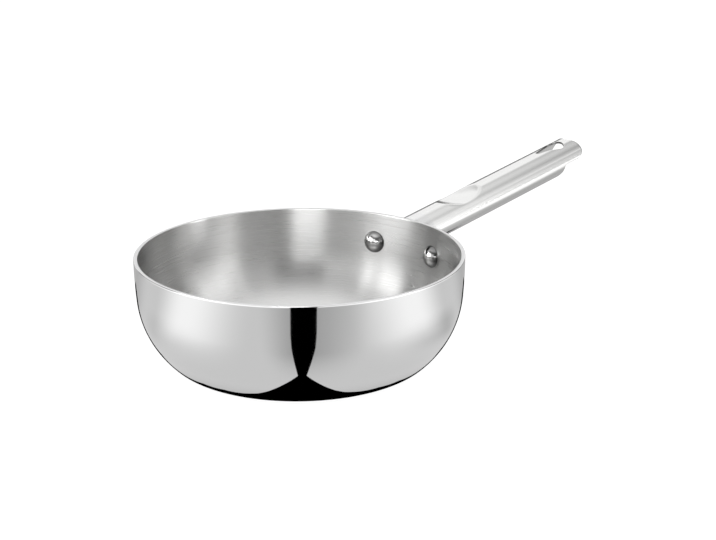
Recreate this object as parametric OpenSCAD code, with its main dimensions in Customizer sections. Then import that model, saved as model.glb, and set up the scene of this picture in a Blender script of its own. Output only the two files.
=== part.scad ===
// Saucier pan: a round-bellied clad body on a flat base, with a riveted tubular handle.
// Millimetres. The origin is the centre of the base where it stands, +Z is up,
// and the handle points along +X.

/* [Body] */
// Inside diameter of the rim
rim_d = 200; // [160:1:260]
// Height of the body from the table to the rim
body_h = 70; // [66:1:76]
// Radius of the nearly upright upper wall, in section
side_r = 294; // [220:1:400]
// Radius of the rounded belly, in section
belly_r = 59; // [54:1:62]
// Angle below the level at which the belly runs into the corner
belly_turn = 48; // [44:1:52]
// Radius of the corner between the belly and the flat base
corner_r = 21; // [14:1:26]
// Thickness of the steel ply that faces the food
inner_ply_t = 0.5; // [0.4:0.1:0.8]
// Thickness of the aluminium core
core_ply_t = 1.5; // [1:0.1:2.5]
// Thickness of the steel ply on the outside
outer_ply_t = 0.5; // [0.4:0.1:0.8]

/* [Handle] */
// Depth of the handle's axis below the rim, at the wall
handle_drop = 11; // [9:0.1:14]
// Rise of the handle's axis above the level
handle_rise = 7.5; // [0:0.1:15]
// Width of the oval tube
tube_w = 27; // [25:0.5:32]
// Height of the oval tube
tube_h = 22; // [20:0.5:24]
// Radius of the tube's flanks, in section
flank_r = 9; // [8:0.5:9.5]
// Thickness of the tube's sheet
tube_t = 1.4; // [1:0.1:2]
// Distance along the axis from the wall to the end of the tongue
reach = 173.9; // [160:0.1:220]
// Length of the tongue, which is the tube without its underside
tongue_l = 21; // [18:0.1:26]
// Height of the tongue's lower edge above the tube's axis
tongue_edge = 0; // [-2:0.5:3]
// Angle at which the cut end of the underside leans back from square
scarf_lean = 22; // [0:1:30]
// Radius in the corner where the underside is cut away
scarf_r = 1.5; // [1:0.5:5]
// Radius on the upper corner of the tongue's end
tip_top_r = 3.5; // [2:0.5:4]
// Radius on the lower corner of the tongue's end
tip_low_r = 6.5; // [4:0.5:7]

/* [Hanging eye] */
// Radius of the round end of the eye
eye_r = 6.6; // [5:0.1:8]
// Radius of the narrow end of the eye
eye_small_r = 1.8; // [1:0.1:3]
// Distance between the centres of the two ends
eye_l = 18.5; // [11:0.5:19]
// Radius of the eye's hollow flanks, between the ends
eye_flank_r = 60; // [30:5:200]
// Sheet left between the eye and the end of the tongue
eye_land = 9.2; // [8:0.1:14]

/* [Thumb dish] */
// Distance from the neck's shoulder to the steep end of the dish
dish_gap = 20.5; // [16:0.5:40]
// Depth of the dish below the top of the tube
dish_d = 4.2; // [2:0.5:5]
// Radius of the dish across the tube
dish_cross_r = 80; // [40:5:120]
// Radius of the steep end of the dish, along the tube
dish_near_r = 34; // [34:1:50]
// Radius of the shallow end of the dish, along the tube
dish_far_r = 60; // [50:1:120]

/* [Bracket] */
// Thickness of the flange that lies on the wall
flange_t = 2.2; // [1.5:0.1:3]
// Distance along the axis from the wall to the shoulder where the tube seats
neck_l = 12.5; // [12:0.5:16]
// Length of the spigot inside the tube
spigot_l = 12; // [8:1:14]
// Gap between the spigot and the inside of the tube
spigot_fit = 0.15; // [0.1:0.05:0.3]
// Radius of the flares between the neck's flanks and the flange
flare_r = 18; // [17:1:24]
// Radius of the ears round the rivets
ear_r = 10; // [9:0.5:12]
// Distance of the flange's upper edge below the rim
flange_drop = 1.5; // [1:0.5:4]
// Rise of the flange's lower edge above the ears, in the middle
flange_arch = 4; // [2:0.5:6]

/* [Rivets] */
// Diameter of the shank
rivet_d = 6; // [5:0.5:8]
// Gap between the shank and its holes
rivet_fit = 0.05; // [0.05:0.05:0.2]
// Angle of each rivet from the handle, round the body
rivet_angle = 14.5; // [13:0.5:18]
// Depth of the rivets below the rim
rivet_drop = 19.5; // [17:0.5:22]
// Diameter of the domed head inside the body
head_d = 14.5; // [10:0.5:15]
// Height of the domed head
head_h = 4.9; // [2:0.1:6]
// Diameter of the closed head on the bracket
tail_d = 9.5; // [8:0.5:12]
// Height of the closed head
tail_h = 2; // [1:0.1:3]

/* [Hidden] */
$fn = 180;

steel = [0.80, 0.80, 0.79];
satin = [0.70, 0.70, 0.69];
aluminium = [0.86, 0.87, 0.88];

// Length by which a cutter passes the surface that it cuts
over = 2;

// Section of the body: three arcs that run into each other, given for its outer face.
// A face at depth d inside it keeps their centres, with radii smaller by d.
wall_t = inner_ply_t + core_ply_t + outer_ply_t;
rim_r = rim_d / 2 + wall_t;
corner_rise = belly_r * sin(belly_turn) + corner_r * (1 - sin(belly_turn));
side_turn = asin((body_h - corner_rise) / (side_r - belly_r));
side_c = [rim_r - side_r, body_h];
belly_c = side_c + (side_r - belly_r) * [cos(side_turn), -sin(side_turn)];
corner_c = belly_c + (belly_r - corner_r) * [cos(belly_turn), -sin(belly_turn)];

// Section of the tube: four arcs, two flat ones above and below and one on each flank
flank_y = tube_w / 2 - flank_r;
flank_rise = tube_h / 2 - flank_r;
crown_drop = (flank_y * flank_y - flank_rise * flank_rise) / (2 * flank_rise);
crown_r = tube_h / 2 + crown_drop;
flank_top = flank_r * crown_drop / (crown_r - flank_r);

// Depth under the neck's flank at which a flare starts
flare_inset = 0.2;

// Where the rivets stand on the wall
rivet_slope = asin(rivet_drop / side_r);
ear_y = (rim_r + flange_t / 2) * sin(rivet_angle);
rivet_z = body_h - rivet_drop;

// Lengths along the handle
eye_at = reach - eye_land - eye_r;
dish_at = neck_l + dish_gap + sqrt(dish_d * (2 * dish_near_r - dish_d));
scarf_at = reach - tongue_l;

// Flat region under a level line, out to x
module below(x, low, high) {
    translate([0, low]) square([x, high - low]);
}

// Half section of everything inside the body's face at depth d, up to a height
module body_section(d, top) {
    far = 2 * rim_r;
    belly_top = side_c[1] - (side_r - d) * sin(side_turn);
    corner_top = belly_c[1] - (belly_r - d) * sin(belly_turn);
    intersection() {
        translate(side_c) circle(side_r - d, $fn = 720);
        below(far, belly_top, top);
    }
    intersection() {
        union() {
            translate(belly_c) circle(belly_r - d);
            below(belly_c[0], 0, top);
        }
        below(far, corner_top, belly_top + over);
    }
    intersection() {
        union() {
            translate(corner_c) circle(corner_r - d);
            below(corner_c[0], 0, top);
        }
        below(far, d, corner_top + over);
    }
}

// Everything inside the body's face at depth d, as a solid
module body_solid(d, top) {
    rotate_extrude() body_section(d, top);
}

// One ply of the body, between two depths, cut level at the rim
module ply(d_out, d_in) {
    difference() {
        rotate_extrude() difference() {
            body_section(d_out, body_h);
            body_section(d_in, body_h + over);
        }
        both_sides() rivet_place() rivet_bar(rivet_fit, 2 * over);
    }
}

module both_sides() {
    children();
    mirror([0, 1, 0]) children();
}

// Moves a shape built along +X to the handle's axis, from the wall outwards
module handle_place() {
    translate([rim_r, 0, body_h - handle_drop]) rotate([0, -handle_rise, 0]) children();
}

// Turns a section drawn in Y and Z into a bar along +X
module bar(from, to) {
    translate([from, 0, 0]) rotate([90, 0, 90]) linear_extrude(to - from) children();
}

// Section of the tube, smaller all round by an inset
module tube_section(inset) {
    joint_y = crown_r * flank_y / (crown_r - flank_r) - inset * flank_y / (crown_r - flank_r);
    intersection() {
        translate([0, -crown_drop]) circle(crown_r - inset);
        translate([0, crown_drop]) circle(crown_r - inset);
        translate([-joint_y, -tube_h]) square([2 * joint_y, 2 * tube_h]);
    }
    for (side = [-1, 1]) intersection() {
        translate([side * flank_y, 0]) circle(flank_r - inset);
        translate([side * (joint_y + tube_w) - tube_w, -tube_h]) square([2 * tube_w, 2 * tube_h]);
    }
}

// Outline of the tube from the side, with the underside cut away below the tongue
module side_outline() {
    top = tube_h / 2;
    cut_top = [scarf_at, tongue_edge];
    cut_low = cut_top - (tube_h + tongue_edge) * [tan(scarf_lean), 1];
    corner = cut_top + scarf_r * [(1 - sin(scarf_lean)) / cos(scarf_lean), -1];
    into_cut = [-cos(scarf_lean), sin(scarf_lean)];
    polygon([[neck_l, tube_h], [neck_l, -tube_h], cut_low, cut_top, [scarf_at, tube_h]]);
    difference() {
        polygon([corner, corner + [0, scarf_r + over], cut_top + [-over, over],
                 corner + (scarf_r + over) * into_cut]);
        translate(corner) circle(scarf_r);
    }
    difference() {
        translate([neck_l, tongue_edge]) square([reach - neck_l, top + over - tongue_edge]);
        translate([reach - tip_low_r, tongue_edge]) square(tip_low_r);
        translate([reach - tip_top_r, top - tip_top_r]) square([tip_top_r, tip_top_r + over]);
        translate([neck_l, top]) square([reach - neck_l, over]);
    }
    translate([reach - tip_low_r, tongue_edge + tip_low_r]) circle(tip_low_r);
    translate([reach - tip_top_r, top - tip_top_r]) circle(tip_top_r);
}

// Outline of the eye from above: a teardrop of two round ends with slightly hollow flanks
module eye_outline() {
    narrow = [eye_at - eye_l, 0];
    wide = [eye_at, 0];
    flank_x = (eye_l * eye_l - (eye_r - eye_small_r) * (2 * eye_flank_r + eye_r + eye_small_r)) / (2 * eye_l);
    flank_c = narrow + [flank_x, sqrt(pow(eye_flank_r + eye_small_r, 2) - flank_x * flank_x)];
    on_narrow = narrow + (flank_c - narrow) * eye_small_r / (eye_flank_r + eye_small_r);
    on_wide = wide + (flank_c - wide) * eye_r / (eye_flank_r + eye_r);
    mirrored = [[1, 0], [0, -1]];
    translate(narrow) circle(eye_small_r);
    translate(wide) circle(eye_r);
    difference() {
        polygon([on_narrow, on_wide, wide, mirrored * on_wide, mirrored * on_narrow, narrow]);
        for (side = [-1, 1]) translate([flank_c[0], side * flank_c[1]]) circle(eye_flank_r, $fn = 720);
    }
}

// Cutter for half of the thumb dish: a ring rolled along the tube
module dish_half(along_r, side, grow) {
    ring_r = along_r - dish_cross_r;
    bottom = tube_h / 2 - dish_d;
    intersection() {
        translate([dish_at, 0, bottom + along_r]) rotate([90, 0, 0]) rotate_extrude() intersection() {
            translate([ring_r, 0]) circle(dish_cross_r + grow);
            translate([0, -2 * along_r]) square(4 * along_r);
        }
        translate([side > 0 ? dish_at : dish_at - 2 * along_r, -tube_w, bottom - grow - over])
            cube([2 * along_r, 2 * tube_w, tube_h]);
    }
}

module dish(grow) {
    dish_half(dish_near_r, -1, grow);
    dish_half(dish_far_r, 1, grow);
}

// Outline of the flange from the front, in Y and Z
module flange_outline() {
    rise = body_h - flange_drop - rivet_z;
    top_r = (ear_y * ear_y + rise * rise - ear_r * ear_r) / (2 * (rise - ear_r));
    top_c = rise - top_r;
    dip = ear_r - flange_arch;
    arch_r = (ear_y * ear_y + dip * dip - ear_r * ear_r) / (2 * flange_arch);
    arch_c = -dip - arch_r;
    arch_y = ear_y * arch_r / (arch_r + ear_r);
    translate([0, rivet_z]) {
        for (side = [-1, 1]) translate([side * ear_y, 0]) circle(ear_r);
        intersection() {
            translate([0, top_c]) circle(top_r, $fn = 360);
            polygon([[0, top_c], 2 * [ear_y, -top_c] + [0, top_c], 2 * [-ear_y, -top_c] + [0, top_c]]);
            translate([-2 * ear_y, 0]) square([4 * ear_y, 2 * rise]);
        }
        difference() {
            translate([-arch_y, -ear_r]) square([2 * arch_y, ear_r + rise - ear_r]);
            translate([0, arch_c]) circle(arch_r, $fn = 360);
        }
    }
}

// Flare on one side of the neck, from the flank's arc out to the flange.
// It keeps to the middle of the flank, where the section is one round arc.
module flare(side) {
    start_r = flank_r - flare_inset;
    rise = 0.8 * flank_top;
    intersection() {
        translate([0, side * flank_y, 0]) rotate([0, 90, 0]) rotate_extrude() difference() {
            translate([0, -flange_t]) square([start_r + flare_r, neck_l + flange_t]);
            translate([start_r + flare_r, neck_l]) circle(flare_r);
        }
        translate([-flange_t - over, -2 * tube_w, -rise])
            cube([neck_l + flange_t + 2 * over, 4 * tube_w, 2 * rise]);
    }
}

// Moves a shape built along +Z to a rivet's axis. The level 0 is the centre of the wall's arc,
// so a face of the wall lies at its own radius.
module rivet_place() {
    rotate([0, 0, rivet_angle]) translate([side_c[0], 0, side_c[1]]) rotate([0, rivet_slope, 0])
        rotate([0, 90, 0]) children();
}

// Round bar through the wall and the flange that runs past both faces
module rivet_bar(gap, past) {
    translate([0, 0, side_r - wall_t - past])
        cylinder(d = rivet_d + 2 * gap, h = wall_t + flange_t + 2 * past);
}

// Upright cylinder that follows the wall round the body, where its face is at a level
module wall_round(level) {
    axis_at = -side_c[0] / cos(rivet_slope);
    translate([0, 0, axis_at]) rotate([0, 90, 0]) cylinder(r = level - axis_at, h = 2 * rim_r, center = true);
}

// Domed cap of a given diameter and height whose rim lies at a level, facing in (-1) or out (1)
module cap(d, h, level, facing) {
    ball_r = (d * d / 4 + h * h) / (2 * h);
    intersection() {
        translate([0, 0, level + facing * (h - ball_r)]) sphere(ball_r);
        translate([0, 0, level + facing * h / 2]) cylinder(d = d, h = h + 2 * over, center = true);
    }
}

module rivet() {
    inside = side_r - wall_t;
    outside = side_r + flange_t;
    head_sag = head_d * head_d / (8 * side_r);
    rivet_place() {
        intersection() {
            cap(head_d, head_h, inside, -1);
            wall_round(inside - head_sag);
        }
        difference() {
            cap(tail_d, tail_h, outside, 1);
            wall_round(outside);
        }
        rivet_bar(0, tail_h / 2);
    }
}

module inner_ply() { color(satin) ply(wall_t - inner_ply_t, wall_t); }

module core_ply() { color(aluminium) ply(outer_ply_t, outer_ply_t + core_ply_t); }

module outer_ply() { color(steel) ply(0, outer_ply_t); }

// Bracket: a flange on the wall with two ears, a flared neck and a spigot for the tube
module handle_bracket() {
    color(steel) difference() {
        union() {
            intersection() {
                body_solid(-flange_t, body_h);
                bar(rim_r / 2, rim_r + neck_l) flange_outline();
            }
            handle_place() {
                for (side = [-1, 1]) flare(side);
                bar(-over, neck_l) tube_section(0);
                bar(0, neck_l + spigot_l) tube_section(tube_t + spigot_fit);
            }
        }
        body_solid(0, body_h + tube_h);
        both_sides() rivet_place() rivet_bar(rivet_fit, 2 * over);
    }
}

// Handle: one oval tube with a pressed thumb dish, its underside cut away at the end
// to leave a tongue, and a teardrop eye through the tongue
module handle_tube() {
    color(steel) handle_place() difference() {
        intersection() {
            difference() {
                bar(neck_l, reach) tube_section(0);
                dish(0);
                difference() {
                    bar(neck_l - over, reach + over) tube_section(tube_t);
                    dish(tube_t);
                }
            }
            rotate([90, 0, 0]) linear_extrude(2 * tube_w, center = true) side_outline();
        }
        linear_extrude(tube_h) eye_outline();
    }
}

module rivet_left() { color(steel) rivet(); }

module rivet_right() { color(steel) mirror([0, 1, 0]) rivet(); }

inner_ply();
core_ply();
outer_ply();
handle_bracket();
handle_tube();
rivet_left();
rivet_right();
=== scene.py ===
# %% [markdown]
# # A saucier pan in Blender
# A saucier is a pan with a round belly, so that a whisk reaches every corner. This one is pressed
# from a clad sheet: two steel layers with aluminium between them. Outside it is polished to a
# mirror, inside it is brushed. A hollow handle is held by a bracket and two rivets.
# The packed CAD model gives the sizes. Here each piece gets a mesh smooth enough to carry
# reflections, because on polished metal a facet of one degree already shows as a kink.

from math import asin, atan2, cos, degrees, hypot, inf, pi, radians, sin, sqrt, tan

import bmesh
import bpy
from mathutils import Matrix, Vector


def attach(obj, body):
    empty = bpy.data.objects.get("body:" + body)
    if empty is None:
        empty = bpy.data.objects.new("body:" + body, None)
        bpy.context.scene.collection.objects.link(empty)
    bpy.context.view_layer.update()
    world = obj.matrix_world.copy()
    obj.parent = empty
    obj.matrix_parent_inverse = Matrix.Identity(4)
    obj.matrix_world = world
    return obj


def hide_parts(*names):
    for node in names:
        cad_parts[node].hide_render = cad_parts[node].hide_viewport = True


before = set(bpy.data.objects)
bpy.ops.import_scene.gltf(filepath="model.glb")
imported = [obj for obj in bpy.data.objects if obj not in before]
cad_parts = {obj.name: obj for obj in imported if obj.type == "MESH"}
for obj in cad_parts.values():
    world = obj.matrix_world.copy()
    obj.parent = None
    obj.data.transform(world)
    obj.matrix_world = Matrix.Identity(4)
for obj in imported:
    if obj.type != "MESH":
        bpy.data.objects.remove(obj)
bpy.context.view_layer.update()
print("CAD nodes:", sorted(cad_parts))

# %% [markdown]
# ## Sizes of the body
# Blender works in metres and the pan was drawn in millimetres, so one short name turns one into
# the other. The side of the body is three arcs that run into each other without a corner: a
# nearly upright wall, the belly, and the corner to the flat base. Their centres follow from the
# radii, exactly as in the drawing.

# %% Three arcs and their centres
mm = 0.001
rim_r = 102.5 * mm
body_h = 70 * mm
side_r, belly_r, corner_r = 294 * mm, 59 * mm, 21 * mm
belly_turn = radians(48)
corner_rise = belly_r * sin(belly_turn) + corner_r * (1 - sin(belly_turn))
side_turn = asin((body_h - corner_rise) / (side_r - belly_r))
side_c = Vector((rim_r - side_r, 0, body_h))
belly_c = side_c + (side_r - belly_r) * Vector((cos(side_turn), 0, -sin(side_turn)))
corner_c = belly_c + (belly_r - corner_r) * Vector((cos(belly_turn), 0, -sin(belly_turn)))
print(f"flat base out to {corner_c.x / mm:.1f} mm, wall arc turns {degrees(side_turn):.2f} degrees")


def wall_radius(z):
    """Radius of the outer face of the body at a height, down to the belly's arc."""
    arc_c, arc_r = (side_c, side_r) if z > body_h - side_r * sin(side_turn) else (belly_c, belly_r)
    return arc_c.x + sqrt(arc_r**2 - (arc_c.z - z) ** 2)


# %% [markdown]
# ## From a bmesh to a finished piece
# Every piece ends the same way. Doubled points are merged, so that seams and poles are closed.
# Then the faces are turned outwards. Blender can do that alone on a closed body, but on an open
# sheet it may choose the wrong side, and the sign of the volume tells which one it took.
# The mesh then becomes an object that rides on the pan's only body and stands for a CAD node.
# Shading is smooth up to a chosen angle, so real edges stay crisp.

# %% Clean a mesh and make it a piece
weld_gap = 0.002 * mm


def clean(bm):
    bmesh.ops.remove_doubles(bm, verts=bm.verts[:], dist=weld_gap)
    bmesh.ops.recalc_face_normals(bm, faces=bm.faces[:])
    if bm.calc_volume(signed=True) < 0:
        bmesh.ops.reverse_faces(bm, faces=bm.faces[:])


def make_piece(bm, name, slot, *stands_for, crisp=35):
    for edge in bm.edges:
        edge.smooth = len(edge.link_faces) < 2 or edge.calc_face_angle(0) < radians(crisp)
    for face in bm.faces:
        face.smooth = True
    mesh = bpy.data.meshes.new(name)
    bm.to_mesh(mesh)
    loose = sum(1 for e in bm.edges if len(e.link_faces) != 2)
    print(f"{name}: {len(mesh.polygons)} faces, {loose} open edges, {bm.calc_volume() / mm**3:.0f} mm3")
    bm.free()
    piece = bpy.data.objects.new(name, mesh)
    bpy.context.scene.collection.objects.link(piece)
    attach(piece, "root")
    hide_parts(*stands_for)
    return piece


print(f"points closer than {weld_gap / mm} mm are merged")

# %% [markdown]
# ## The body
# A press draws the body from a flat disc, and it stays a solid of revolution. In Blender that is
# a profile turned round the axis. The profile itself is drawn in the same way: a point is spun
# about the centre of each arc, which leaves a chain of edges behind it. Nothing has to be
# calculated point by point, and the arcs meet exactly.

# %% Draw a profile with one moving point
def spin_point(bm, point, centre, angle, steps):
    """Carry a point round a centre in the XZ plane, leaving edges. Returns the last point."""
    made = bmesh.ops.spin(bm, geom=[point], cent=centre, axis=(0, 1, 0), angle=angle, steps=steps)
    return [v for v in made["geom_last"] if isinstance(v, bmesh.types.BMVert)][0]


def step_point(bm, point, move, steps=1):
    """Carry a point in a straight line, leaving edges."""
    for _ in range(steps):
        made = bmesh.ops.extrude_vert_indiv(bm, verts=[point])
        point = made["verts"][0]
        point.co += Vector(move) / steps
    return point


def turn_round(bm, steps):
    """Turn the whole profile round the upright axis into a closed solid."""
    bmesh.ops.spin(bm, geom=bm.verts[:] + bm.edges[:], cent=(0, 0, 0), axis=(0, 0, 1),
                   angle=2 * pi, steps=steps, use_merge=True)
    clean(bm)


lathe_steps = 256
print(f"the body is turned in {lathe_steps} steps of {360 / lathe_steps:.1f} degrees")

# %% [markdown]
# The three layers of the sheet are three bowls that nest. Each one is a single face of
# revolution at its own depth, and gets its thickness afterwards. That is closer to the real
# bonded sheet than three separate profiles, and no gap can open between the plies.
# The rim is ground smooth on both sides, with a small round.

# %% Spin the three plies
rim_round, rim_near = 0.3 * mm, 0.05 * mm


def bowl(depth, thickness):
    """Ply whose outer face lies at a depth inside the body's outer face."""
    bm = bmesh.new()
    point = bm.verts.new((0, 0, depth))
    point = step_point(bm, point, (corner_c.x, 0, 0), steps=8)
    point = spin_point(bm, point, corner_c, belly_turn - pi / 2, 16)
    point = spin_point(bm, point, belly_c, side_turn - belly_turn, 40)
    spin_point(bm, point, side_c, -side_turn, 24)
    turn_round(bm, lathe_steps)
    bmesh.ops.solidify(bm, geom=bm.faces[:], thickness=thickness)
    return bm


def soften_rim(bm, inside):
    """Bevel the rim's edge on one side."""
    level = max(v.co.z for v in bm.verts)
    radii = [hypot(v.co.x, v.co.y) for v in bm.verts if level - v.co.z < rim_near]
    radius = min(radii) if inside else max(radii)
    edges = [e for e in bm.edges if all(level - v.co.z < rim_near and
             abs(hypot(v.co.x, v.co.y) - radius) < rim_near for v in e.verts)]
    bmesh.ops.bevel(bm, geom=edges, offset=rim_round, offset_type="OFFSET", segments=3,
                    profile=0.5, affect="EDGES", material=-1)


outer_t, core_t, inner_t = 0.5 * mm, 1.5 * mm, 0.5 * mm
wall_t = outer_t + core_t + inner_t
outer = bowl(0, outer_t)
soften_rim(outer, inside=False)
outer_ply = make_piece(outer, "outer_skin", "mirror_steel", "outer_ply")
core_ply = make_piece(bowl(outer_t, core_t), "core_sheet", "core_aluminium", "core_ply")
inner = bowl(outer_t + core_t, inner_t)
soften_rim(inner, inside=True)
inner_ply = make_piece(inner, "inner_skin", "satin_steel", "inner_ply")

# %% [markdown]
# ## The handle, from a flat blank
# The real tube starts as a flat sheet with its cut-outs made, and is then rolled. The same order
# works well in Blender: on a flat grid the eye and the cut-away underside are easy to place, and
# one formula rolls the grid into the oval tube. Cutting the finished tube with booleans would
# leave long thin faces, which show as scratches in a polished surface.
# All lengths along the handle count from the wall of the body.

# %% Sizes of the handle
tube_w, tube_h, tube_t = 27 * mm, 22 * mm, 1.4 * mm
neck_l, reach = 12.5 * mm, 173.9 * mm
handle_drop, handle_rise = 11 * mm, radians(7.5)
handle_place = (Matrix.Translation((rim_r, 0, body_h - handle_drop))
                @ Matrix.Rotation(-handle_rise, 4, "Y"))
tip = handle_place @ Vector((reach, 0, 0))
print(f"the handle ends {tip.x / mm:.1f} mm from the middle of the pan, {tip.z / mm:.1f} mm up")

# %% [markdown]
# Seen from its end, the tube is an oval of four arcs: two wide ones for the crown and the
# underside, and two tight ones for the flanks. A direction says where on the oval a point lies:
# 0 is the top, a quarter turn is the side. Since the arcs meet without a corner, each
# direction belongs to exactly one point.

# %% The oval section
flank_r = 9 * mm
flank_y = tube_w / 2 - flank_r
flank_rise = tube_h / 2 - flank_r
crown_drop = (flank_y**2 - flank_rise**2) / (2 * flank_rise)
crown_r = tube_h / 2 + crown_drop
crown_turn = atan2(flank_y, crown_drop)


def oval(turn):
    """Point (y, z) of the section whose surface faces a direction."""
    if abs(sin(turn)) <= sin(crown_turn):
        sign = 1 if cos(turn) >= 0 else -1
        return crown_r * sin(turn), crown_r * cos(turn) - sign * crown_drop
    side = 1 if sin(turn) > 0 else -1
    return side * flank_y + flank_r * sin(turn), flank_r * cos(turn)


def turn_at(part):
    """Direction reached after a part (-1 to 1) of the half way round, measured along the sheet."""
    crown, flank = crown_r * crown_turn, flank_r * (pi - 2 * crown_turn)
    way = abs(part) * (2 * crown + flank)
    if way < crown:
        turn = way / crown_r
    elif way < crown + flank:
        turn = crown_turn + (way - crown) / flank_r
    else:
        turn = pi - (2 * crown + flank - way) / crown_r
    return turn if part > 0 else -turn


print(f"crown arc {crown_r / mm:.2f} mm, out to {degrees(crown_turn):.1f} degrees from the top")

# %% [markdown]
# The end of the tube isn't cut square. The underside stops short on a line that leans back, with
# a small round in its corner, and leaves a tongue whose end is rounded when seen from the side.
# Laid flat, such a cut is a curve. So two functions give the side view, and the blank's
# columns will simply end where they say.

# %% The side view of the end
cut_at, cut_lean, cut_corner_r = reach - 21 * mm, radians(22), 1.5 * mm
corner_s = cut_at + cut_corner_r * (1 - sin(cut_lean)) / cos(cut_lean)
tip_top_r, tip_low_r = 3.5 * mm, 6.5 * mm


def tongue_end(z):
    """Distance at which the tongue ends, at a height above the axis."""
    if z < tip_low_r:
        return reach - tip_low_r + sqrt(max(0, tip_low_r**2 - (tip_low_r - max(z, 0)) ** 2))
    over_top = z - (tube_h / 2 - tip_top_r)
    return reach - tip_top_r + sqrt(max(0, tip_top_r**2 - over_top**2)) if over_top > 0 else reach


def underside_end(z):
    """Distance at which the underside ends, below the axis."""
    if z > -cut_corner_r * (1 - sin(cut_lean)):
        return corner_s - sqrt(cut_corner_r**2 - (z + cut_corner_r) ** 2)
    return cut_at + z * tan(cut_lean)


print(f"tongue of {(reach - corner_s) / mm:.1f} mm, "
      f"underside ends at {underside_end(-tube_h / 2) / mm:.1f} mm")

# %% [markdown]
# A grid has rows, one behind the other along the tube, and columns, side by side round it. The
# rows are evenly spaced up to the eye. From there on they are drawn together: below, they gather
# at the leaning cut, and in the tongue at its rounded end, so the faces bend with the outline
# and no outline is cut through a face.

# %% Rows and columns of the blank
around = 144                                        # columns
row_step, bend_s, tip_s = 0.9 * mm, 131 * mm, 167 * mm
rows = [neck_l]
while rows[-1] < bend_s:
    rows.append(rows[-1] + row_step)
bend_row = len(rows) - 1


def fill_rows(end, count):
    """Add evenly spaced rows up to a distance. Returns the last one's number."""
    start = rows[-1]
    rows.extend(start + (end - start) * k / count for k in range(1, count + 1))
    return len(rows) - 1


corner_row = fill_rows(corner_s, 25)
tip_row = fill_rows(tip_s, 15)
last_row = fill_rows(reach, 10)


def along(row, turn):
    """Distance of a point of the blank, given by its row and direction."""
    z, s = oval(turn)[1], rows[row]
    if z < -1e-6 and row > bend_row:
        share = (s - rows[bend_row]) / (rows[corner_row] - rows[bend_row])
        return rows[bend_row] + share * (underside_end(z) - rows[bend_row])
    if row > tip_row:
        share = (s - rows[tip_row]) / (reach - rows[tip_row])
        return rows[tip_row] + share * (tongue_end(z) - rows[tip_row])
    return s


print(f"blank of {last_row + 1} by {around + 1} points")

# %% [markdown]
# The grid is made in one step, and each of its points is moved to its place on the flat sheet.
# The place is also written down in a layer of the mesh: distance, direction and row. Layers
# travel with the points through later operations, so the sheet can be rolled from them at the
# end. The faces under the tongue are cut away.

# %% Lay out the blank
blank = bmesh.new()
bmesh.ops.create_grid(blank, x_segments=last_row, y_segments=around, size=0.5)
place = blank.verts.layers.float_vector.new("place")
for vert in blank.verts:
    row = round((vert.co.x + 0.5) * last_row)
    turn = turn_at(2 * round((vert.co.y + 0.5) * around) / around - 1)
    vert.co = (along(row, turn), crown_r * turn, 0)
    vert[place] = (along(row, turn), turn, row)
cut_away = [f for f in blank.faces
            if min(v[place][2] for v in f.verts) >= corner_row
            and abs(sum(v[place][1] for v in f.verts)) / 4 > pi / 2]
bmesh.ops.delete(blank, geom=cut_away, context="FACES")
print(f"{len(cut_away)} faces cut away under the tongue")

# %% [markdown]
# ## The hanging eye
# The eye is a teardrop: two round ends joined by flanks that are slightly hollow. Its edge is
# needed as a function of the direction seen from a point inside. Instead of four cases for the
# four arcs, a test says whether a point is inside, and halving the step finds the edge.

# %% The teardrop
eye_r, eye_small_r, eye_l, eye_flank_r = 6.6 * mm, 1.8 * mm, 18.5 * mm, 60 * mm
eye_at = reach - 9.2 * mm - eye_r                   # centre of the wide end
eye_mid = eye_at - 4 * mm                           # a point well inside
flank_x = ((eye_l**2 - (eye_r - eye_small_r) * (2 * eye_flank_r + eye_r + eye_small_r))
           / (2 * eye_l))
flank_c = (eye_at - eye_l + flank_x, sqrt((eye_flank_r + eye_small_r) ** 2 - flank_x**2))


def in_eye(s, y):
    y = abs(y)
    if hypot(s - eye_at, y) < eye_r or hypot(s - eye_at + eye_l, y) < eye_small_r:
        return True
    on_small = eye_small_r / (eye_flank_r + eye_small_r)
    on_wide = eye_r / (eye_flank_r + eye_r)
    low = eye_at - eye_l + on_small * flank_x
    high = eye_at + on_wide * (flank_c[0] - eye_at)
    return low < s < high and hypot(s - flank_c[0], y - flank_c[1]) > eye_flank_r and y < eye_r


def eye_edge(direction):
    """Point of the teardrop's edge, in a direction from the middle of the eye."""
    near, far = 0.5 * mm, 25 * mm
    for _ in range(40):
        middle = (near + far) / 2
        inside = in_eye(eye_mid + middle * cos(direction), middle * sin(direction))
        near, far = (middle, far) if inside else (near, middle)
    return eye_mid + near * cos(direction), near * sin(direction)


print(f"eye from {eye_edge(pi)[0] / mm:.1f} to {eye_edge(0)[0] / mm:.1f} mm along the handle")

# %% [markdown]
# A window of whole faces is opened first, and its border is extruded inwards, first to just
# outside the teardrop and then onto it. The wide ring is subdivided, so the faces flow round the
# hole. The narrow one keeps the bent shading of the rounded edge away from the polished top.

# %% Open the window and flow its border onto the teardrop
window_low, window_high, window_turn = 134 * mm, 166.5 * mm, 0.70
wide_low, wide_high, wide_turn = 132 * mm, 168 * mm, 0.80     # takes in the window's border
collar = 0.5 * mm
window = [f for f in blank.faces
          if window_low < f.calc_center_median().x < window_high
          and abs(f.calc_center_median().y) < crown_r * window_turn]
bmesh.ops.delete(blank, geom=window, context="FACES")


def near_eye(vert):
    """Whether a point of the flat blank lies in the window or on its border."""
    return wide_low < vert.co.x < wide_high and abs(vert.co.y) < crown_r * wide_turn


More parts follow.
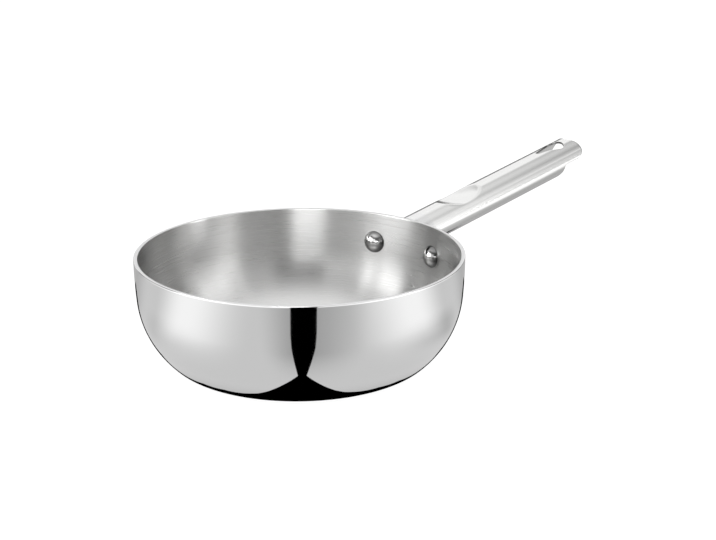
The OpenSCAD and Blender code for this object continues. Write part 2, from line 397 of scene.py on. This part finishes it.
def flow_inwards(edges, gap):
    """Extrude a border to a gap outside the teardrop. Returns the new border and the cross edges."""
    made = bmesh.ops.extrude_edge_only(blank, edges=edges)["geom"]
    fresh = {g for g in made if isinstance(g, bmesh.types.BMVert)}
    for vert in fresh:
        direction = atan2(vert.co.y, vert.co.x - eye_mid)
        s, y = eye_edge(direction)
        s, y = s + gap * cos(direction), y + gap * sin(direction)
        vert.co = (s, crown_r * asin(y / crown_r), 0)
    all_edges = {e for g in made if isinstance(g, bmesh.types.BMFace) for e in g.edges}
    return ([e for e in all_edges if all(v in fresh for v in e.verts)],
            [e for e in all_edges if (e.verts[0] in fresh) != (e.verts[1] in fresh)])


border = [e for e in blank.edges if e.is_boundary and all(near_eye(v) for v in e.verts)]
loop, cross = flow_inwards(border, collar)
flow_inwards(loop, 0)
bmesh.ops.subdivide_edges(blank, edges=cross, cuts=7, use_grid_fill=True)
for vert in blank.verts:
    if near_eye(vert):
        vert[place] = (vert.co.x, vert.co.y / crown_r, 0)
print(f"eye: {len(window)} faces out, {len(border)} edges round the teardrop")

# %% [markdown]
# ## Pressing the thumb dish and rolling the tube
# The dish is pressed with a rounded tool, steep at the end towards the pan and shallow at the
# other. As a formula it is the lower of two surfaces, the tube and the tool. A pressed sheet has
# no knife edge there, so the two are joined with a small round. Rolling then only means
# looking up each point's direction on the oval.

# %% Press the dish and roll the sheet
dish_d, dish_cross_r, dish_near_r, dish_far_r = 4.2 * mm, 80 * mm, 34 * mm, 60 * mm
dish_at = neck_l + 20.5 * mm + sqrt(dish_d * (2 * dish_near_r - dish_d))
dish_round = 0.7 * mm


def dish_height(s, y):
    """Height of the pressing tool's surface above the axis, without end where the tool isn't."""
    tool_r = dish_near_r if s < dish_at else dish_far_r
    ring_r = tool_r - dish_cross_r + sqrt(max(0, dish_cross_r**2 - y**2))
    if abs(s - dish_at) >= ring_r:
        return inf
    return tube_h / 2 - dish_d + tool_r - sqrt(ring_r**2 - (s - dish_at) ** 2)


def pressed(z, tool):
    """The lower of two heights, with a round where they meet."""
    near = max(dish_round - abs(z - tool), 0) / dish_round
    return min(z, tool) - near * near * dish_round / 4


for vert in blank.verts:
    s, turn, _ = vert[place]
    y, z = oval(turn)
    if z > 0:
        z = pressed(z, dish_height(s, y))
    vert.co = (s, y, z)
clean(blank)
print(f"dish {dish_d / mm} mm deep at {dish_at / mm:.1f} mm along the handle")

# %% [markdown]
# Now the sheet gets its thickness, inwards, and every cut edge a small bevel, except at the
# hidden end in the neck. Two more layers are filled for the finish: the inside of the tube gets
# painted light, and the edge left by the punch at the eye is dull and gets painted shade.

# %% Give the sheet its thickness
edge_break, sharp, hidden_end = 0.22 * mm, radians(50), neck_l + 1 * mm
eye_half_w = 8 * mm
across_sheet = 0.6              # a face of a cut edge points less than this part outwards
bmesh.ops.solidify(blank, geom=blank.faces[:], thickness=tube_t)
cut_edges = [e for e in blank.edges if e.calc_face_angle(0) > sharp
             and max(v.co.x for v in e.verts) > hidden_end]
bmesh.ops.bevel(blank, geom=cut_edges, offset=edge_break, offset_type="OFFSET", segments=2,
                profile=0.5, affect="EDGES", clamp_overlap=True, material=-1)
bore = blank.verts.layers.float.new("bore")
punched = blank.verts.layers.float.new("punched")
for vert in blank.verts:
    across = Vector((0, vert.co.y, vert.co.z)).normalized()
    outwards = [f.normal.dot(across) for f in vert.link_faces]
    at_eye = (window_low < vert.co.x < window_high and abs(vert.co.y) < eye_half_w
              and vert.co.z > 0)
    # faces that look into the tube get painted light
    vert[bore] = 1.0 if max(outwards) < 0 else 0.0
    vert[punched] = 1.0 if at_eye and max(map(abs, outwards)) < across_sheet else 0.0
print(f"{sum(v[punched] for v in blank.verts):.0f} points on the punched edge")
bmesh.ops.transform(blank, matrix=handle_place, verts=blank.verts[:])
tube = make_piece(blank, "handle", "handle_steel", "handle_tube", crisp=40)

# %% [markdown]
# ## The bracket
# The bracket is a casting: a flange with two ears that lies on the curved wall, and a neck that
# flares into it. Seen from the front, the flange is two round ears with a wide arc over them and
# a hollow one under them. A test for a point is enough to describe it, because the loft will
# walk outwards until it has left the flange.

# %% The outline of the flange
flange_t, ear_r, rivet_angle, rivet_drop = 2.2 * mm, 10 * mm, radians(14.5), 19.5 * mm
top_gap, arch_rise = 1.5 * mm, 4 * mm
ear_y, rivet_z = (rim_r + flange_t / 2) * sin(rivet_angle), body_h - rivet_drop
rise = body_h - top_gap - rivet_z
top_r = (ear_y**2 + rise**2 - ear_r**2) / (2 * (rise - ear_r))
dip = ear_r - arch_rise
arch_r = (ear_y**2 + dip**2 - ear_r**2) / (2 * arch_rise)
arch_y = ear_y * arch_r / (arch_r + ear_r)


def in_flange(y, z):
    """Whether a point, seen from the front, lies on the flange."""
    y, up = abs(y), z - rivet_z
    if hypot(y - ear_y, up) < ear_r:
        return True
    top_c = rise - top_r
    under_top = up > 0 and hypot(y, up - top_c) < top_r and y * -top_c < ear_y * (up - top_c)
    over_arch = y < arch_y and -ear_r < up < rise - ear_r and hypot(y, up + dip + arch_r) > arch_r
    return under_top or over_arch


print(f"top arc {top_r / mm:.1f} mm, arch {arch_r / mm:.1f} mm, ears {2 * ear_y / mm:.1f} mm apart")

# %% [markdown]
# A loft describes the bracket well: rings of points run from the end of the neck down to the
# wall and out over the flange. Each column of the loft starts in one direction of the oval. Its
# foot, where the neck meets the flange, is found by halving, and its reach by walking outwards.

# %% The columns of the loft
flare_r, flare_share = 11 * mm, 0.85                # a short reach gives its share to the flare
bare = 0.3 * mm                                     # below this width nothing is drawn
walk_step, walk_end, neck_inside = 0.1 * mm, 45 * mm, -12 * mm


def on_wall(y, z, height):
    """Point at a height over the wall, given as it is seen from the front."""
    return Vector((sqrt((wall_radius(z) + height) ** 2 - y * y), y, z))


def neck_point(turn, s):
    y, z = oval(turn)
    return handle_place @ Vector((s, y, z))


def neck_foot(turn, height):
    """Point at which the neck's surface reaches a height over the wall."""
    low, high = neck_inside, neck_l
    for _ in range(30):
        middle = (low + high) / 2
        at = neck_point(turn, middle)
        over_it = hypot(at.x, at.y) > wall_radius(at.z) + height
        low, high = (low, middle) if over_it else (middle, high)
    return neck_point(turn, low)


def flange_reach(turn, start):
    """How far the flange runs out from the neck in a direction, seen from the front."""
    out = 0
    while out < walk_end and in_flange(start.y + (out + walk_step) * sin(turn),
                                       start.z + (out + walk_step) * cos(turn)):
        out += walk_step
    return out


columns = []
for k in range(around):
    turn = turn_at(2 * k / around - 1)
    foot = neck_foot(turn, flange_t)
    out = flange_reach(turn, foot)
    columns.append((turn, foot, out, min(flare_r, flare_share * out)))
print(f"flange reaches {max(out for _, _, out, _ in columns) / mm:.1f} mm out from the neck")

# %% [markdown]
# Three rules place the rings. On the flare, a quarter round leads from the neck into the flange.
# On the flange, the ring moves out along the wall. On the back, it returns to the middle and lies
# on the wall itself. Where the neck leaves the flange at the top there is no room for a flare,
# and the column stays straight.

# %% Three rules for a ring
back_mid, back_top = body_h - 16 * mm, body_h - 0.01 * mm


def on_flare(k, quarter):
    turn, _, _, flare = columns[k]
    start = neck_point(turn, neck_l)
    height = hypot(start.x, start.y) - wall_radius(min(start.z, body_h)) - flange_t
    over_it = flange_t + height * (1 - sin(quarter))
    straight = neck_foot(turn, over_it)
    if flare < bare:
        return straight
    out = flare * (1 - cos(quarter))
    shifted = on_wall(straight.y + out * sin(turn), straight.z + out * cos(turn), over_it)
    return straight.lerp(shifted, 1 - cos(quarter))


def on_flange(k, share):
    turn, foot, out, flare = columns[k]
    if out < bare:
        return foot
    out = flare + share * (out - flare)
    return on_wall(foot.y + out * sin(turn), min(foot.z + out * cos(turn), body_h), flange_t)


def on_back(k, share):
    turn, foot, out, _ = columns[k]
    y, z = foot.y + out * sin(turn), foot.z + out * cos(turn)
    return on_wall(y * share, min(back_mid + (z - back_mid) * share, back_top), 0)


print(f"{sum(flare < bare for _, _, _, flare in columns)} columns stay straight")

# %% [markdown]
# The first ring's points are placed one by one. Every other ring is an extrusion of the ring
# before it, which also makes the faces between them. A layer remembers each point's column, and an
# extruded point takes the number over, so the rule above knows where to put it.

# %% Loft the bracket
flare_steps = 14
bracket = bmesh.new()
column = bracket.verts.layers.int.new("column")
first = [bracket.verts.new(neck_point(turn, neck_l)) for turn, _, _, _ in columns]
for k, vert in enumerate(first):
    vert[column] = k
shoulder = [bracket.edges.new((a, b)) for a, b in zip(first, first[1:] + first[:1])]


def next_ring(loop, rule, step):
    """Extrude a ring and put each new point where the rule says."""
    made = bmesh.ops.extrude_edge_only(bracket, edges=loop)["geom"]
    fresh = {g for g in made if isinstance(g, bmesh.types.BMVert)}
    for vert in fresh:
        vert.co = rule(vert[column], step)
    return [g for g in made if isinstance(g, bmesh.types.BMEdge) and all(v in fresh for v in g.verts)]


loop = shoulder
for step in range(1, flare_steps + 1):
    loop = next_ring(loop, on_flare, step / flare_steps * pi / 2)
for share in (0.5, 1):
    loop = next_ring(loop, on_flange, share)
for share in (1, 0.6, 0.3):
    loop = next_ring(loop, on_back, share)
bmesh.ops.contextual_create(bracket, geom=loop)
bmesh.ops.contextual_create(bracket, geom=shoulder)
clean(bracket)
bracket_piece = make_piece(bracket, "bracket", "bracket_steel", "handle_bracket", crisp=45)

# %% [markdown]
# ## The rivets
# A rivet is one turned piece: a domed head inside the pan, a shank through the sheet and the
# flange, and the closed head outside. Its profile is drawn with the same moving point as the
# body's and turned round its own axis. The dome's foot is softened, and a layer tells the
# finish how far a point lies from the middle of its head.

# %% Turn a rivet
head_r, head_h, head_edge, head_sink = 7.25 * mm, 4.9 * mm, 0.5 * mm, 0.35 * mm
tail_r, tail_h, shank_r = 4.75 * mm, 2 * mm, 3 * mm
foot_round, foot_near = 0.35 * mm, 0.02 * mm


def dome_radius(width, height):
    """Radius of the ball from which a dome of that half width and height is cut."""
    return (width**2 + height**2) / (2 * height)


def turn_rivet():
    bm = bmesh.new()
    head_dome, tail_dome = dome_radius(head_r, head_h - head_edge), dome_radius(tail_r, tail_h)
    point = bm.verts.new((0, 0, -wall_t - head_h))
    point = spin_point(bm, point, (0, 0, -wall_t - head_h + head_dome), -asin(head_r / head_dome), 24)
    point = step_point(bm, point, (0, 0, head_edge + head_sink), 2)
    point = step_point(bm, point, (shank_r - head_r, 0, 0))
    point = step_point(bm, point, (0, 0, flange_t + wall_t - head_sink))
    point = step_point(bm, point, (tail_r - shank_r, 0, 0))
    spin_point(bm, point, (0, 0, flange_t + tail_h - tail_dome), -asin(tail_r / tail_dome), 16)
    turn_round(bm, 72)
    rims = [e for e in bm.edges if e.calc_face_angle(0) > radians(40)
            and all(abs(hypot(v.co.x, v.co.y) - head_r) < foot_near for v in e.verts)
            and all(v.co.z < -wall_t for v in e.verts)]
    bmesh.ops.bevel(bm, geom=rims, offset=foot_round, offset_type="OFFSET", segments=3,
                    profile=0.5, affect="EDGES", material=-1)
    # the finish paints shade towards each head's foot from this layer
    foot = bm.verts.layers.float.new("foot")        # 0 on the rivet's axis, 1 at the foot of a head
    for vert in bm.verts:
        vert[foot] = hypot(vert.co.x, vert.co.y) / (head_r if vert.co.z < 0 else tail_r)
    return bm


print(f"head's ball {dome_radius(head_r, head_h - head_edge) / mm:.2f} mm in radius")

# %% [markdown]
# The wall leans and curves at the rivets, and a rivet stands square on it. One matrix does that:
# swing to the rivet's side of the pan, go to the centre of the wall's arc, tilt by the angle at
# which the rivet's height lies on that arc, and go out to the face of the wall.

# %% Set the rivets
rivet_slope = asin(rivet_drop / side_r)
rivets = []
for side, name, node in ((1, "rivet_pin_left", "rivet_left"),
                         (-1, "rivet_pin_right", "rivet_right")):
    bm = turn_rivet()
    stand = (Matrix.Rotation(side * rivet_angle, 4, "Z") @ Matrix.Translation(side_c)
             @ Matrix.Rotation(rivet_slope, 4, "Y") @ Matrix.Translation((side_r, 0, 0))
             @ Matrix.Rotation(pi / 2, 4, "Y"))
    bmesh.ops.transform(bm, matrix=stand, verts=bm.verts[:])
    rivets.append(make_piece(bm, name, "rivet_steel", node))
print(f"the rivets tilt by {degrees(rivet_slope):.2f} degrees")

# %% [markdown]
# ## Writing shader maths
# Materials here are formulas of the place on the piece. Nodes for every plus and times would
# hide the idea, so a small class wraps a socket and lets Python's own signs add the Math nodes.
# The reflected forms are there so that a number may also stand on the left.

# %% Sockets as Python values
def sign(operation):
    """Both forms of a sign: with the wire on its left, and with the wire on its right."""
    def forward(self, other):
        return self.finish.math(operation, self, other)

    def reflected(self, other):
        return self.finish.math(operation, other, self)

    return forward, reflected


class Wire:
    """The output of a node, ready to calculate with."""

    __add__, __radd__ = sign("ADD")
    __sub__, __rsub__ = sign("SUBTRACT")
    __mul__, __rmul__ = sign("MULTIPLY")
    __truediv__, __rtruediv__ = sign("DIVIDE")

    def __init__(self, finish, socket):
        self.finish, self.socket = finish, socket

    def __abs__(self):
        return self.finish.math("ABSOLUTE", self)

    def root(self):
        return self.finish.math("SQRT", self)

    def bearing(self, ahead):
        """Angle of the point (this, ahead), in degrees from straight ahead."""
        return self.finish.math("ARCTAN2", self, ahead) * degrees(1)

    def along(self, way):
        """How far this vector reaches in a direction."""
        return self.finish.add("ShaderNodeVectorMath", {"operation": "DOT_PRODUCT"},
                               {0: self, 1: way})["Value"]


print(f"{sum(map(callable, vars(Wire).values()))} things can be done with a wire")

# %% [markdown]
# The nodes themselves come from one method, which takes the node's type, its settings and what
# goes into its sockets, a number or a wire. A few words are added for what the pan's finishes
# need again and again: a smooth ramp, a value stored in the mesh, and steel's grey.

# %% A finish under construction
class Finish:
    """The nodes of a material, or of the light in the world."""

    def __init__(self, owner):
        owner.use_nodes = True
        self.owner, self.tree = owner, owner.node_tree
        self.tree.nodes.clear()

    def add(self, kind, settings={}, values={}):
        node = self.tree.nodes.new(kind)
        for key, value in settings.items():
            setattr(node, key, value)
        for key, value in values.items():
            if isinstance(value, Wire):
                self.tree.links.new(value.socket, node.inputs[key])
            else:
                node.inputs[key].default_value = value
        return {output.name: Wire(self, output) for output in node.outputs if output.enabled}

    def math(self, operation, *values):
        return self.add("ShaderNodeMath", {"operation": operation}, dict(enumerate(values)))["Value"]

    def place(self):
        """Where a point lies, in the metres of the frame."""
        return self.add("ShaderNodeTexCoord")["Object"]

    def ramp(self, value, low, high):
        """0 up to the low value, 1 from the high one, and smooth between them."""
        return self.add("ShaderNodeMapRange", {"interpolation_type": "SMOOTHSTEP"},
                        {"Value": value, "From Min": low, "From Max": high})["Result"]

    def stored(self, name):
        """A value that the mesh carries at each of its points."""
        return self.add("ShaderNodeAttribute", {"attribute_name": name})["Fac"]

    def grey(self, shade):
        """Steel's colour at a brightness, a little warm."""
        return self.add("ShaderNodeCombineColor", {},
                        {0: shade, 1: shade * 0.998, 2: shade * 0.99})["Color"]

    def stretched(self, *scale):
        """Where a point lies, stretched by a scale for each direction."""
        return self.add("ShaderNodeMapping", {}, {"Vector": self.place(), "Scale": scale})["Vector"]

    def noise(self, where, detail):
        """Cloudy noise, about 0.5 on average."""
        return self.add("ShaderNodeTexNoise", {},
                        {"Vector": where, "Scale": 1.0, "Detail": detail})["Fac"]

    def end(self, shader, kind="Material"):
        self.add("ShaderNodeOutput" + kind, {}, {"Surface": shader})
        return self.owner

    def metal(self, **values):
        """End a material in metal with these sockets."""
        sockets = {key.replace("_", " "): value for key, value in values.items()}
        shader = self.add("ShaderNodeBsdfPrincipled", {}, {"Metallic": 1.0, **sockets})["BSDF"]
        return self.end(shader)


def new_finish(name):
    return Finish(bpy.data.materials.new(name))


print("words for a finish:", [word for word in vars(Finish) if not word.startswith("_")])

# %% [markdown]
# ## Finishes
# Mirror polish, satin brushing and a fine grain along the tube are all the same steel. They
# differ in roughness and in the direction of the marks. The outside is buffed until it mirrors,
# yet it never is quite even: a faint haze, wider than tall, keeps it from looking like glass.

# %% Mirror polish
def mirror_polish():
    finish = new_finish("mirror_polish")
    haze = finish.noise(finish.stretched(40, 40, 90), 3)
    return finish.metal(Base_Color=(0.80, 0.80, 0.80, 1), Roughness=0.035 + haze * 0.03)


def dress(piece, material):
    piece.data.materials.clear()
    piece.data.materials.append(material)
    print(f"{piece.name}: {material.name}, {len(material.node_tree.nodes)} nodes")


dress(outer_ply, mirror_polish())

# %% [markdown]
# The inside is brushed on a lathe, so its marks run round the axis. Noise does not know about
# circles, so it is read in turned coordinates: radius, height and angle, fine in the first two
# and long in the third. Such marks make the steel anisotropic: light spreads across them and
# stays sharp along them, which draws bright and dark bands down the inside of the pan.

# %% Round brushing
def round_brushing():
    finish = new_finish("round_brushing")
    part = finish.add("ShaderNodeSeparateXYZ", {}, {0: finish.place()})
    radius = (part["X"] * part["X"] + part["Y"] * part["Y"]).root()
    angle = finish.math("ARCTAN2", part["Y"], part["X"])
    marks = []
    for fine, long in ((2200, 2), (6500, 5)):
        at = finish.add("ShaderNodeCombineXYZ", {},
                        {0: radius * fine, 1: part["Z"] * fine, 2: angle * long})["Vector"]
        marks.append(finish.noise(at, 2))
    return finish.metal(Base_Color=finish.grey(0.61 + marks[0] * 0.09 + marks[1] * 0.09),
                        Roughness=0.20 + marks[0] * 0.10 + marks[1] * 0.08,
                        Anisotropic=0.92, Anisotropic_Rotation=0.25)


dress(inner_ply, round_brushing())

# %% [markdown]
# The tube keeps a fine grain along its length: noise that is stretched some forty times along
# the handle. Its inside is painted paler, which is painted light. The punched edge at the eye
# is rougher, as sheared metal is, and painted darker, which is painted shade. Both are values
# that the mesh carries, so the finish follows the sheet and not a guess at where its edges lie.

# %% Grain along the tube
def tube_grain():
    finish = new_finish("tube_grain")
    grain = finish.noise(finish.stretched(60, 2500, 2500), 2)
    sheared_and_shaded = finish.stored("punched")
    # painted light on the inside of the tube, painted shade on the punched edge
    bright = 0.80 + finish.stored("bore") * 0.17 - sheared_and_shaded * 0.55
    return finish.metal(Base_Color=finish.grey(bright), Roughness=0.12 + grain * 0.10 + sheared_and_shaded * 0.2)


dress(tube, tube_grain())

# %% [markdown]
# The rivets' domes are polished. Towards their foot they are a little rougher, and their colour
# is painted much darker there: painted shade. The bracket is tumbled and satin, and the aluminium
# shows only as a thin line in the rim. Cloudy noise in the roughness keeps each of them from
# being a single flat value.

# %% Domes, casting and core
def domed_polish_and_painted_shade():
    finish = new_finish("rivet_polish_and_painted_shade")
    # painted shade: the domes' colour darkens towards the foot of each head
    foot = finish.ramp(finish.stored("foot"), 0.42, 0.98)
    cloud = finish.noise(finish.stretched(300, 300, 300), 3)
    return finish.metal(Base_Color=finish.grey(0.79 - foot * 0.6),
                        Roughness=0.03 + cloud * 0.03 + foot * 0.05)


def plain_metal(name, shade, rough):
    finish = new_finish(name)
    cloud = finish.noise(finish.stretched(300, 300, 300), 3)
    return finish.metal(Base_Color=(shade, shade, shade, 1), Roughness=rough + cloud * 0.04)


dress(core_ply, plain_metal("core_edge", 0.72, 0.3))
dress(bracket_piece, plain_metal("bracket_satin", 0.80, 0.22))
for piece in rivets:
    dress(piece, domed_polish_and_painted_shade())

# %% [markdown]
# ## The stage
# Polished metal has no colour of its own: what stands round it is most of its look. The stage is
# flat sheets, which don't ride on the pan's body. All directions on the floor are given as the
# camera sees them, because that is how a photograph is read.

# %% Sheets and directions
camera_turn = radians(-45.5)    # the camera sees the handle point to the right and away from it


def facing(azimuth):
    """Direction on the floor as the camera sees it: 0 right, -90 towards the camera."""
    turn = radians(azimuth) + camera_turn
    return Vector((cos(turn), sin(turn), 0))


def stage_sheet(name, corners, material):
    bm = bmesh.new()
    bm.faces.new([bm.verts.new(c) for c in corners])
    bmesh.ops.recalc_face_normals(bm, faces=bm.faces[:])
    mesh = bpy.data.meshes.new(name)
    bm.to_mesh(mesh)
    bm.free()
    sheet = bpy.data.objects.new(name, mesh)
    bpy.context.scene.collection.objects.link(sheet)
    sheet.data.materials.append(material)
    return sheet


right, near = facing(0), facing(-90)
print("right is", [round(c, 3) for c in right], "and near is", [round(c, 3) for c in near])

# %% [markdown]
# The floor is white paper. The outside of the pan leans back towards it, so seen from a little
# above, the polished belly mirrors nothing but the paper, and light and shade painted into the
# paper for the metal draw its soft greys. A point of the paper is found by its distance from the
# pan's axis and by its angle away from the camera, the same on the left and on the right.

# %% Where a point of the paper lies
paper = new_finish("white_floor")
spot = paper.place()
to_right, to_near = spot.along(right), spot.along(near)
distance = (to_right * to_right + to_near * to_near).root()
away = abs(to_right).bearing(to_near)
print(f"{len(paper.tree.nodes)} nodes tell where a point of the paper lies")

# %% [markdown]
# The greys were found by trial, beside the photograph. They are painted light and painted shade,
# which only the metal sees. The paper is brightest at both sides, a little towards the camera: a
# painted pool of lamp light. It is darker behind the pan and darkest straight behind it. Three
# more stretches are painted shade: the ground under the belly, a lane in front of the pan, and a
# patch at each flank, deeper on the right. Far out it is bright again, except behind the pan.
# Each stretch is a product of ramps, and the sum says how much it adds or takes.

# %% Painted light and shade on the paper
close = paper.ramp(distance, 92 * mm, 66 * mm)
far = paper.ramp(distance, 92 * mm, 192 * mm)
beside = paper.ramp(away, 25, 66) * paper.ramp(away, 96, 70)
lane = to_right / (to_near - 60 * mm)
front = (paper.ramp(lane, -0.62, 0.1) * paper.ramp(lane, 1.3, -0.3)
         * paper.ramp(distance, 90 * mm, 160 * mm) * paper.ramp(to_near, 60 * mm, 80 * mm))
behind = paper.ramp(away, 105, 130)
back = paper.ramp(away, 140, 165)
horizon = paper.ramp(distance, 300 * mm, 390 * mm) * paper.ramp(away, 123, 114)
flank = (paper.ramp(away, 42, 76) * paper.ramp(away, 116, 88)
         * paper.ramp(distance, 205 * mm, 160 * mm) * paper.ramp(distance, 102 * mm, 135 * mm)
         * (0.07 + paper.ramp(to_right, 0, 60 * mm) * 0.11))
# painted light and painted shade: lamp pools beside the pan and the pan's shade round it, for the metal
# only
paper_with_painted_light = (0.69 + far * (beside * 0.43 - behind * 0.2 - back * 0.32) + horizon * 0.6
        - front * 0.34 - close * 0.25 - flank)
print(f"{len(paper.tree.nodes)} nodes with those for its brightness")

# %% [markdown]
# The camera itself should see plain white paper with the pan's shadow on it. The Light Path node
# tells who is looking: rays from metal see the painted light and shade above, and the camera sees
# white, mixed with a little paper that the studio lights, which carries the shadow.

# %% The floor
white = (1, 1, 1, 1)
looks = paper.add("ShaderNodeLightPath")
lit = paper.add("ShaderNodeBsdfDiffuse", {}, {"Color": (0.85, 0.85, 0.85, 1)})["BSDF"]
to_metal = paper.add("ShaderNodeEmission", {}, {"Color": paper_with_painted_light, "Strength": 1.0})["Emission"]
to_camera = paper.add("ShaderNodeEmission", {}, {"Color": white, "Strength": 1.2})["Emission"]
by_metal = paper.add("ShaderNodeMixShader", {}, {0: looks["Is Glossy Ray"], 1: lit, 2: to_metal})
paper.end(paper.add("ShaderNodeMixShader", {}, {0: looks["Is Camera Ray"] * 0.8,
                                                1: by_metal["Shader"], 2: to_camera})["Shader"])
floor_half, floor_z = 4, -0.1 * mm
stage_sheet("floor", [(x * floor_half, y * floor_half, floor_z)
                      for x, y in ((-1, -1), (1, -1), (1, 1), (-1, 1))], paper.owner)
print(f"floor {2 * floor_half} m wide, {len(paper.tree.nodes)} nodes")

# %% [markdown]
# The black stripe is what makes the belly read as polished. It is the mirror image of a black card
# that lies before the pan. The same black sheet reaches round under the belly and along the pan's
# sides, and there it is painted shade: it is black where the paper lies in the pan's own shade, and
# darkens the base. The card is narrowest close to the pan's wall, where the stripe has its waist,
# and behind the pan it is open, so that the back mirrors light paper too. The camera doesn't see
# the card, and it throws no shadow: it is there for the metal only.

# %% Black card, and painted shade round the pan
# Millimetres towards the camera, and half the card's width there.
half_card = ((600, 88), (300, 39), (207, 24.5), (165, 16), (132, 9.2), (119, 6.2), (112, 4.7),
             (107, 3.6), (101, 7.8), (92, 15), (84, 22), (79, 27.5), (73, 36.5), (65, 49),
             (53, 62), (32, 76), (17, 86), (6, 95), (-12, 104), (-40, 117), (-72, 131),
             (-106, 145), (-150, 158), (-150, 128), (-106, 112), (-72, 92), (-40, 64), (-12, 30))
card_lean, lean_from = tan(radians(2.6)), 90        # the stripe lies a little to the right
card_z = 0.02 * mm
card_edges = [[near * ahead * mm + right * (side * half + card_lean * max(ahead - lean_from, 0)) * mm
               + Vector((0, 0, card_z)) for ahead, half in half_card] for side in (-1, 1)]
# black for the metal only: a card before the pan, painted shade under and beside it
black_sheet = new_finish("black_card_and_painted_shade")
black_sheet.end(black_sheet.add("ShaderNodeBsdfDiffuse", {}, {"Color": (0, 0, 0, 1)})["BSDF"])
card = stage_sheet("black_card_and_painted_shade", card_edges[0] + card_edges[1][::-1], black_sheet.owner)
for ray in ("camera", "diffuse", "shadow", "transmission"):
    setattr(card, "visible_" + ray, False)
print(f"card with {len(card.data.vertices)} corners")

# %% [markdown]
# ## The light
# The air round the pan is a studio of soft panels. The brushed inside spreads their light
# upwards and downwards but not sideways, so each panel becomes one bright upright band, and the
# gaps between panels the dark ones. A panel is given by its middle and half width in degrees
# from the camera, positive to the right, by how softly it fades, and by its lower and upper
# edge, as the upward part of a direction of length 1. The camera sees plain white.

# %% Panels of light
world = bpy.data.worlds.new("studio")
bpy.context.scene.world = world
studio = Finish(world)
sight = studio.add("ShaderNodeTexCoord")["Generated"]
turn_seen = sight.along(right).bearing(sight.along(near))
up_seen = sight.along((0, 0, 1))
faint_air = 0.03


def panel(middle, half, soft, low, high):
    """1 in a window of light, 0 outside it."""
    off = (abs(turn_seen) if middle == 180 else turn_seen) - middle
    fade = soft / 100
    upright = (studio.ramp(up_seen, low - fade, low + fade)
               * studio.ramp(up_seen, high + fade, high - fade))
    return studio.ramp(abs(off), half + soft, half) * upright


panels = {                      # middle, half width, softness, lower edge, upper edge, power
    "right wall": (75, 25, 5, -0.1, 0.72, 0.50),
    "right wall, far corner": (98, 8, 6, 0.48, 0.76, 0.42),
    "right window": (75, 12, 7, 0.05, 0.60, 0.95),
    "right window's edge": (38, 12, 12, 0.05, 0.6, 0.42),
    "right strip lamp": (78, 4, 4, -0.1, 0.12, 8.5),
    "front lamp": (-7, 9, 6, -0.05, 0.20, 8.0),
    "left wall": (-38, 15, 8, 0, 0.5, 0.95),
    "left window": (-72, 17, 7, 0, 0.57, 1.7),
    "left window, middle": (-76, 7, 5, 0.1, 0.45, 1.5),
    "left lamp": (-74, 12, 5, 0, 0.22, 4.6),
    "left wall, far corner": (-100, 9, 7, 0.45, 0.74, 0.5),
    "slit at the back": (-147, 3, 3, 0, 0.25, 1.5),
    "back window": (180, 16, 10, 0.16, 0.72, 1.05),
    "front wall": (0, 48, 15, 0, 0.8, 0.14),
    "ceiling, back": (180, 90, 15, 0.73, 2, 1.05),
    "ceiling, front": (0, 75, 15, 0.76, 2, 1.3),
}
light = faint_air
for *window_of_light, power in panels.values():
    light = light + panel(*window_of_light) * power
air = studio.add("ShaderNodeBackground", {}, {"Color": light, "Strength": 1.0})["Background"]
plain = studio.add("ShaderNodeBackground", {}, {"Color": white, "Strength": 1.0})["Background"]
seen = studio.add("ShaderNodeLightPath")["Is Camera Ray"]
studio.end(studio.add("ShaderNodeMixShader", {}, {0: seen, 1: air, 2: plain})["Shader"], "World")
print(f"{len(panels)} panels of light")

# %% [markdown]
# ## The camera
# The camera stands where the photograph was taken from, as the ellipse of the rim and the line
# of the handle tell. It has a long lens and is over a metre away, so the pan keeps nearly
# parallel sides. It is first set up as if it looked along Y, and is then turned, tipped and
# rolled by small angles, because the photograph's camera wasn't aimed at the middle of the pan.
# Last of all it is carried round the pan to its own side.

# %% Camera
elevation, yaw, pitch, roll = radians(18.7192), radians(1.6654), radians(0.9486), radians(-0.8306)
stand_off, aim_h = 1248.952045 * mm, 36.9 * mm
picture_px, lens_px, sensor_w = 716, 2000, 36
target = Vector((0, 0, aim_h))
eye_pos = Vector((0, -stand_off * cos(elevation), stand_off * sin(elevation))) + target
forward = Vector((0, cos(elevation), -sin(elevation)))
upward = Vector((0, sin(elevation), cos(elevation)))
rightward = Vector((1, 0, 0))


def swing(first, second, angle):
    """Two directions at right angles, turned together by an angle."""
    return first * cos(angle) + second * sin(angle), second * cos(angle) - first * sin(angle)


forward, rightward = swing(forward, rightward, yaw)
forward, upward = swing(forward, upward, pitch)
rightward, upward = swing(rightward, upward, roll)
looks_along = Matrix((rightward, upward, -forward)).transposed().to_4x4()
camera_data = bpy.data.cameras.new("camera")
camera_data.sensor_width = sensor_w
camera_data.lens = lens_px / picture_px * sensor_w
camera_data.clip_start, camera_data.clip_end = 0.01, 50
camera = bpy.data.objects.new("camera", camera_data)
bpy.context.scene.collection.objects.link(camera)
camera.matrix_world = Matrix.Rotation(camera_turn, 4, "Z") @ Matrix.Translation(eye_pos) @ looks_along
bpy.context.scene.camera = camera
bpy.context.scene.view_settings.view_transform = "Standard"
print("camera at", [round(c, 3) for c in camera.matrix_world.translation])

# %% [markdown]
# ## Last step
# Last of all, the view layer is brought up to date.

# %% Update the view layer
bpy.context.view_layer.update()
